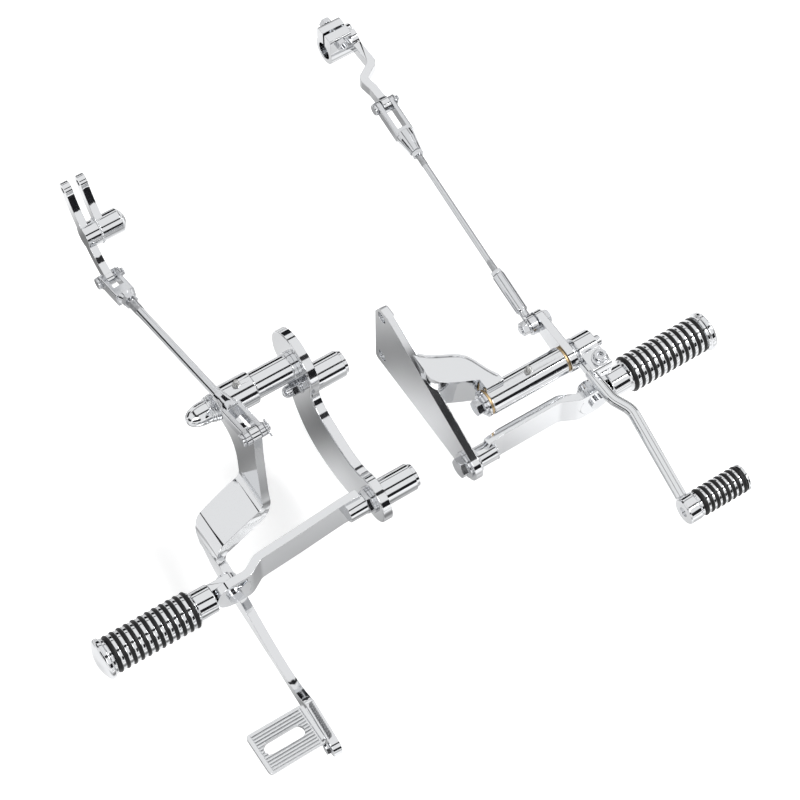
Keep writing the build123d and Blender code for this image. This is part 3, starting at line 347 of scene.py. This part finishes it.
for name, run in threadRuns.items():
    front, rear = rodEnds[run["rod"]]["front"], rodEnds[run["rod"]]["rear"]
    way = (rear - front).normalized()
    along = run["fromFront"] if "fromFront" in run else (rear - front).length - run["fromRear"]
    mesh = runTree(threadTree, {
        "Turns": run["length"] / thread["pitch"],
        "Length": run["length"] * mm,
        "Radius": (run["radius"] - thread["sunk"]) * mm,
        "Ridge": thread["ridge"] * mm,
        "Finish": threadSteel,
    }, placeAlong(front + way * along, way))
    addPiece(name, mesh, run["body"], threadSteel)
print("threads cut")

# weld beads: a ring of overlapping drops round a joint, mm
welds = {
    "cross_boss_weld": {"centre": (-240, -179.4, 33), "radius": 13.0, "size": 1.2, "drops": 50,
                        "seed": 3, "body": "cross_lever"},
    "toe_boss_weld": {"centre": (318.5, 147.0, 0), "radius": 13.0, "size": 0.7, "drops": 70,
                      "seed": 4, "body": "shift_lever"},
    "left_bar_weld": {"centre": (150, 32.0, -31), "radius": 10.4, "size": 1.0, "drops": 44,
                      "seed": 5, "body": "frame_side"},
}
weldTree, source = newTree("weldBead", [
    ("Drops", "Int"), ("Radius", "Float"), ("Drop Size", "Float"), ("Seed", "Int")])
seam = newNode(weldTree, "GeometryNodeMeshCircle")
drop = newNode(weldTree, "GeometryNodeMeshIcoSphere", {"Subdivisions": 2})
vary = newNode(weldTree, "FunctionNodeRandomValue")
vary.data_type = "FLOAT"
vary.inputs[2].default_value = 0.88  # smallest drop
vary.inputs[3].default_value = 1.08  # largest drop
spread = newNode(weldTree, "GeometryNodeInstanceOnPoints")
wire(weldTree, (source, "Drops", seam, "Vertices"), (source, "Radius", seam, "Radius"),
     (source, "Drop Size", drop, "Radius"), (source, "Seed", vary, "Seed"),
     (seam, 0, spread, "Points"), (drop, "Mesh", spread, "Instance"), (vary, 1, spread, "Scale"))
endTree(weldTree, source, spread.outputs[0])
for name, weld in welds.items():
    mesh = runTree(weldTree, {
        "Drops": weld["drops"],
        "Radius": weld["radius"] * mm,
        "Drop Size": weld["size"] * mm,
        "Seed": weld["seed"],
        "Finish": chrome,
    }, placeAlong(weld["centre"], (0, 1, 0)))
    addPiece(name, mesh, weld["body"], chrome)
print("welds laid")

# a row of ridges on the lever's top edge beside the pad, mm
teeth = {
    "start": (273.6, -253.9, -55.2),
    "way": (1, -0.05, 0),
    "count": 15,
    "pitch": 2.6,
    "height": 1.5,
    "width": 1.85,
    "stretch": 2.1,  # across the edge
}
toothTree, source = newTree("toothRow", [
    ("Count", "Int"), ("Pitch", "Float"), ("Height", "Float"), ("Width", "Float")])
tooth = newNode(toothTree, "GeometryNodeMeshCone", {"Vertices": 4})
wire(toothTree, (source, "Height", tooth, "Depth"), (source, "Width", tooth, "Radius Bottom"))
row = repeatAlong(toothTree, source, "X", tooth.outputs["Mesh"])
row.inputs["Rotation"].default_value = (0, 0, math.radians(45))
row.inputs["Scale"].default_value = (1, teeth["stretch"], 1)
endTree(toothTree, source, row.outputs[0])
mesh = runTree(toothTree, {
    "Count": teeth["count"],
    "Pitch": teeth["pitch"] * mm,
    "Height": teeth["height"] * mm,
    "Width": teeth["width"] * mm,
    "Finish": threadSteel,
}, placeAlong(teeth["start"], teeth["way"], "X", "Z"))
for face in mesh.polygons:
    face.use_smooth = False
addPiece("brake_lever_teeth", mesh, "pedal", threadSteel)
print("pad teeth set")

# the pivot's bullet nut, turned: (radius, height) from its seat outwards, mm
bullet = {
    "centre": (-4.0, -188.3, 30.0),
    "rings": [(0, 0), (13.0, 0), (13.3, 0.3), (13.3, 1.5), (13.0, 1.8), (12.2, 1.8), (12.2, 2.2),
              (13.0, 2.2), (13.3, 2.5), (13.3, 3.6), (13.0, 3.9), (11.9, 3.9), (11.9, 4.4),
              (12.5, 4.6), (12.5, 5.6), (11.6, 6.0)],
    "radius": 11.6,
    "skirt": 9.0,
    "length": 29.2,
    "fullness": 0.92,  # under 1 the nose is blunter
    "noseSteps": 16,
    "turnSteps": 64,
    "mergeWithin": 0.001,
}


def turned(name, outline, steps, place, body, mat, replaced):
    verts, faces = [], []
    rows = len(outline)
    for k in range(steps):
        angle = 2 * math.pi * k / steps
        for radius, height in outline:
            verts.append((radius * math.cos(angle) * mm, radius * math.sin(angle) * mm, height * mm))
    for k in range(steps):
        after = (k + 1) % steps
        for n in range(rows - 1):
            faces.append((k * rows + n, after * rows + n, after * rows + n + 1, k * rows + n + 1))
    mesh = bpy.data.meshes.new(name)
    mesh.from_pydata(verts, [], faces)
    mesh.transform(place)
    work = bmesh.new()
    work.from_mesh(mesh)
    bmesh.ops.remove_doubles(work, verts=work.verts, dist=bullet["mergeWithin"] * mm)
    bmesh.ops.recalc_face_normals(work, faces=work.faces)
    work.to_mesh(mesh)
    work.free()
    mesh.shade_smooth()
    mesh.set_sharp_from_angle(angle=math.radians(polish["sharpAngle"]))
    addPiece(name, mesh, body, mat, replaced)


outline = list(bullet["rings"])
for k in range(bullet["noseSteps"] + 1):
    bend = k / bullet["noseSteps"] * math.pi / 2
    height = bullet["skirt"] + (bullet["length"] - bullet["skirt"]) * math.sin(bend)
    outline.append((bullet["radius"] * math.cos(bend) ** bullet["fullness"], height))
turned("pivot_bullet_nut", outline, bullet["turnSteps"], placeAlong(bullet["centre"], (0, -1, 0)),
       "frame_side", chrome, ("brake_acorn_nut",))
print("bullet nut turned")

# split pins through the ends of the fork pins
pinWire = {
    "reach": 4.4,       # mm, half of the straight run
    "eye": 1.9,         # mm, radius of the loop
    "wire": 0.75,       # mm, radius of the wire
    "leg": 5.0,         # mm
    "gap": 0.6,         # of the wire's radius, from the middle to a leg
    "gapBelow": 0.7,    # the same where the legs come out
    "flare": 0.9,       # of the leg's length, sideways
    "curl": 0.25,       # of the leg's length, drawn back up
    "eyeSweep": 300,    # degrees
    "eyeSteps": 14,
    "legSteps": 5,
}
splitPins = {
    "front_fork_split_pin": {"centre": rodEnds["brake"]["front"], "out": 14.2, "way": (-0.5, 0, 0.86),
                             "side": (0.86, 0, 0.5), "body": "brake_linkage"},
    "rear_fork_split_pin": {"centre": rodEnds["brake"]["rear"], "out": 14.2, "way": (0.3, 0, 0.95),
                            "side": (0.95, 0, -0.3), "body": "brake_linkage"},
    "shift_fork_split_pin": {"centre": rodEnds["shift"]["rear"], "out": 13.4, "way": (0.4, 0, 0.9),
                             "side": (0.9, 0, -0.4), "body": "shift_linkage"},
}


def pinPaths(through, up, side, size):
    reach, eye, wireRadius, leg = size["reach"], size["eye"], size["wire"], size["leg"]
    paths = []
    for sign in (-1, 1):
        path = [through + up * reach + side * wireRadius * sign * size["gap"],
                through + side * wireRadius * sign * size["gap"],
                through - up * reach + side * wireRadius * sign * size["gapBelow"]]
        for k in range(1, size["legSteps"] + 1):
            bend = k / size["legSteps"]
            down = reach + leg * bend * (1 - size["curl"] * bend)
            away = wireRadius * size["gapBelow"] + leg * size["flare"] * bend * bend
            path.append(through - up * down + side * sign * away)
        paths.append(path)
    loop = []
    for k in range(size["eyeSteps"] + 1):
        turn = math.radians(-size["eyeSweep"] / 2 + size["eyeSweep"] * k / size["eyeSteps"])
        loop.append(through + up * (reach + eye + eye * math.cos(turn)) + side * eye * math.sin(turn))
    paths.append(loop)
    return paths


for name, pin in splitPins.items():
    curve = bpy.data.curves.new(name, "CURVE")
    curve.dimensions = "3D"
    curve.bevel_depth = pinWire["wire"] * mm
    curve.bevel_resolution = 4
    curve.use_fill_caps = True
    through = pin["centre"] + Vector((0, pin["out"], 0))
    for points in pinPaths(through, Vector(pin["way"]).normalized(), Vector(pin["side"]).normalized(), pinWire):
        spline = curve.splines.new("POLY")
        spline.points.add(len(points) - 1)
        for point, spot in zip(spline.points, points):
            point.co = (*(spot * mm), 1)
    holder = bpy.data.objects.new("holder", curve)
    bpy.context.scene.collection.objects.link(holder)
    mesh = finalMesh(holder)
    mesh.shade_smooth()
    addPiece(name, mesh, pin["body"], boltChrome)
print("split pins fitted")

# camera
photo = {
    "viewWay": (0.433, -0.28, 0.857),   # from the object to the camera
    "levelWay": (0.543, 0.84, 0.0),     # runs to the picture's right
    "distance": 2.6,                    # m
    "pixelsPerMm": 1.015,
    "originPixel": (381.8, 337.3),
    "focusDepth": 0.015,                # m behind the origin
    "width": 800,
    "sensor": 36.0,                     # mm
    "clip": (0.05, 30.0),               # m
}
toCamera = Vector(photo["viewWay"]).normalized()
rightWay = Vector(photo["levelWay"])
rightWay = (rightWay - toCamera * rightWay.dot(toCamera)).normalized()
upWay = toCamera.cross(rightWay)
middle = photo["width"] / 2
scale = photo["pixelsPerMm"]
target = (
    rightWay * (middle - photo["originPixel"][0]) / scale * mm
    + upWay * (photo["originPixel"][1] - middle) / scale * mm
    - toCamera * photo["focusDepth"]
)
cameraData = bpy.data.cameras.new("camera")
cameraData.sensor_width = photo["sensor"]
cameraData.lens = scale * photo["distance"] / mm / photo["width"] * photo["sensor"]
cameraData.clip_start, cameraData.clip_end = photo["clip"]
camera = bpy.data.objects.new("camera", cameraData)
turn = Matrix((rightWay, upWay, toCamera)).transposed().to_4x4()
camera.matrix_world = Matrix.Translation(target + toCamera * photo["distance"]) @ turn
bpy.context.scene.collection.objects.link(camera)
bpy.context.scene.camera = camera
print("camera placed")


# stage and light

def stagePlane(name, centre, width, height, normal, colour, camera=True):
    mesh = bpy.data.meshes.new(name)
    w, h = width / 2, height / 2
    mesh.from_pydata([(-w, -h, 0), (w, -h, 0), (w, h, 0), (-w, h, 0)], [], [(0, 1, 2, 3)])
    obj = bpy.data.objects.new(name, mesh)
    obj.matrix_world = Matrix.Translation(centre) @ turnTo(normal)
    bpy.context.scene.collection.objects.link(obj)
    mat = bpy.data.materials.new(name)
    mat.use_nodes = True
    shader = mat.node_tree.nodes["Principled BSDF"]
    shader.inputs["Base Color"].default_value = (*colour, 1)
    shader.inputs["Roughness"].default_value = 1.0
    shader.inputs["Specular IOR Level"].default_value = 0.0
    mesh.materials.append(mat)
    if not camera:
        obj.visible_camera = False
        obj.visible_diffuse = False
        obj.visible_shadow = False
    return mat.node_tree


def seenStraight(tree):  # 1 for camera, glossy and transmission rays, else 0
    path = newNode(tree, "ShaderNodeLightPath")
    two = newNode(tree, "ShaderNodeMath")
    three = newNode(tree, "ShaderNodeMath")
    two.operation = three.operation = "ADD"
    wire(tree, (path, "Is Camera Ray", two, 0), (path, "Is Glossy Ray", two, 1),
         (two, 0, three, 0), (path, "Is Transmission Ray", three, 1))
    return three


studio = {
    "floorZ": -0.13,     # m
    "floorSize": 40.0,   # m
    "floorColour": (0.92, 0.92, 0.92),
    "floorGlow": 0.3,
    "worldLight": 0.72,
}
tree = stagePlane("floor", (0, 0, studio["floorZ"]), studio["floorSize"], studio["floorSize"],
                  (0, 0, 1), studio["floorColour"])
share = newNode(tree, "ShaderNodeMath")
share.operation = "MULTIPLY"
share.inputs[1].default_value = studio["floorGlow"]
glow = newNode(tree, "ShaderNodeEmission")
both = newNode(tree, "ShaderNodeAddShader")
wire(tree, (seenStraight(tree), 0, share, 0), (share, 0, glow, "Strength"),
     (tree.nodes["Principled BSDF"], 0, both, 0), (glow, 0, both, 1),
     (both, 0, tree.nodes["Material Output"], "Surface"))

world = bpy.data.worlds.new("world")
bpy.context.scene.world = world
world.use_nodes = True
tree = world.node_tree
background = tree.nodes["Background"]
background.inputs["Color"].default_value = (1, 1, 1, 1)
level = newNode(tree, "ShaderNodeMapRange", {"To Min": studio["worldLight"], "To Max": 1.0})
wire(tree, (seenStraight(tree), 0, level, "Value"), (level, "Result", background, "Strength"))

softboxes = {
    "key": {"place": (1.0, 1.7, 2.3), "size": (1.6, 1.0), "power": 60.0},
    "fill": {"place": (1.8, -1.8, 1.6), "size": (1.4, 1.4), "power": 20.0},
}
for name, box in softboxes.items():
    data = bpy.data.lights.new(name, "AREA")
    data.shape = "RECTANGLE"
    data.size, data.size_y = box["size"]
    data.energy = box["power"]
    lamp = bpy.data.objects.new(name, data)
    lamp.matrix_world = Matrix.Translation(box["place"]) @ turnTo(box["place"])
    bpy.context.scene.collection.objects.link(lamp)
    lamp.visible_camera = False

# dark cards that only the chrome sees, m: a ring at the horizon, strips overhead, a patchy one below
cards = {
    "radius": 2.3,
    "count": 7,
    "startShare": 0.3,
    "width": 1.5,
    "low": -0.02,
    "high": 0.95,
    "grey": (0.015, 0.015, 0.017),
}
for k in range(cards["count"]):
    angle = 2 * math.pi * (k + cards["startShare"]) / cards["count"]
    spot = Vector((math.cos(angle), math.sin(angle), 0)) * cards["radius"]
    centre = spot + Vector((0, 0, (cards["high"] + cards["low"]) / 2))
    stagePlane("card_%02d" % k, centre, cards["width"], cards["high"] - cards["low"],
               -spot, cards["grey"], camera=False)

strips = {
    "height": 2.0,
    "crossHeight": 2.05,
    "length": 4.0,
    "places": ((-2.25, 0.5), (0.95, 0.6)),       # x and width
    "crossPlaces": ((2.0, 0.45), (-1.25, 0.4)),  # y and width
    "grey": (0.03, 0.03, 0.032),
}
for k, (x, width) in enumerate(strips["places"]):
    stagePlane("strip_%d" % k, Vector((x, 0, strips["height"])), width, strips["length"],
               (0, 0, -1), strips["grey"], camera=False)
for k, (y, width) in enumerate(strips["crossPlaces"]):
    stagePlane("cross_strip_%d" % k, Vector((0, y, strips["crossHeight"])), strips["length"], width,
               (0, 0, -1), strips["grey"], camera=False)

under = {
    "size": 3.0,
    "above": 0.002,
    "light": (0.95, 0.53),  # grey, and the noise above which it is full
    "dark": (0.22, 0.36),   # grey, and the noise below which it is full
    "scale": 5.5,
    "detail": 1.0,
    "stretch": (1.0, 0.35, 1.0),
    "turn": 32,             # degrees
}
tree = stagePlane("under_card", Vector((0, 0, studio["floorZ"] + under["above"])), under["size"],
                  under["size"], (0, 0, 1), (0.5, 0.5, 0.5), camera=False)
coord = newNode(tree, "ShaderNodeTexCoord")
stretched = newNode(tree, "ShaderNodeMapping", {
    "Rotation": (0, 0, math.radians(under["turn"])), "Scale": under["stretch"]})
cloud = newNode(tree, "ShaderNodeTexNoise", {"Scale": under["scale"], "Detail": under["detail"]})
ramp = newNode(tree, "ShaderNodeValToRGB")
for stop, (grey, position) in zip(ramp.color_ramp.elements, (under["dark"], under["light"])):
    stop.position = position
    stop.color = (grey, grey, grey, 1)
wire(tree, (coord, "Object", stretched, "Vector"), (stretched, "Vector", cloud, "Vector"),
     (cloud, "Fac", ramp, "Fac"), (ramp, "Color", tree.nodes["Principled BSDF"], "Base Color"))

bpy.context.scene.view_settings.view_transform = "Standard"
print("stage set")
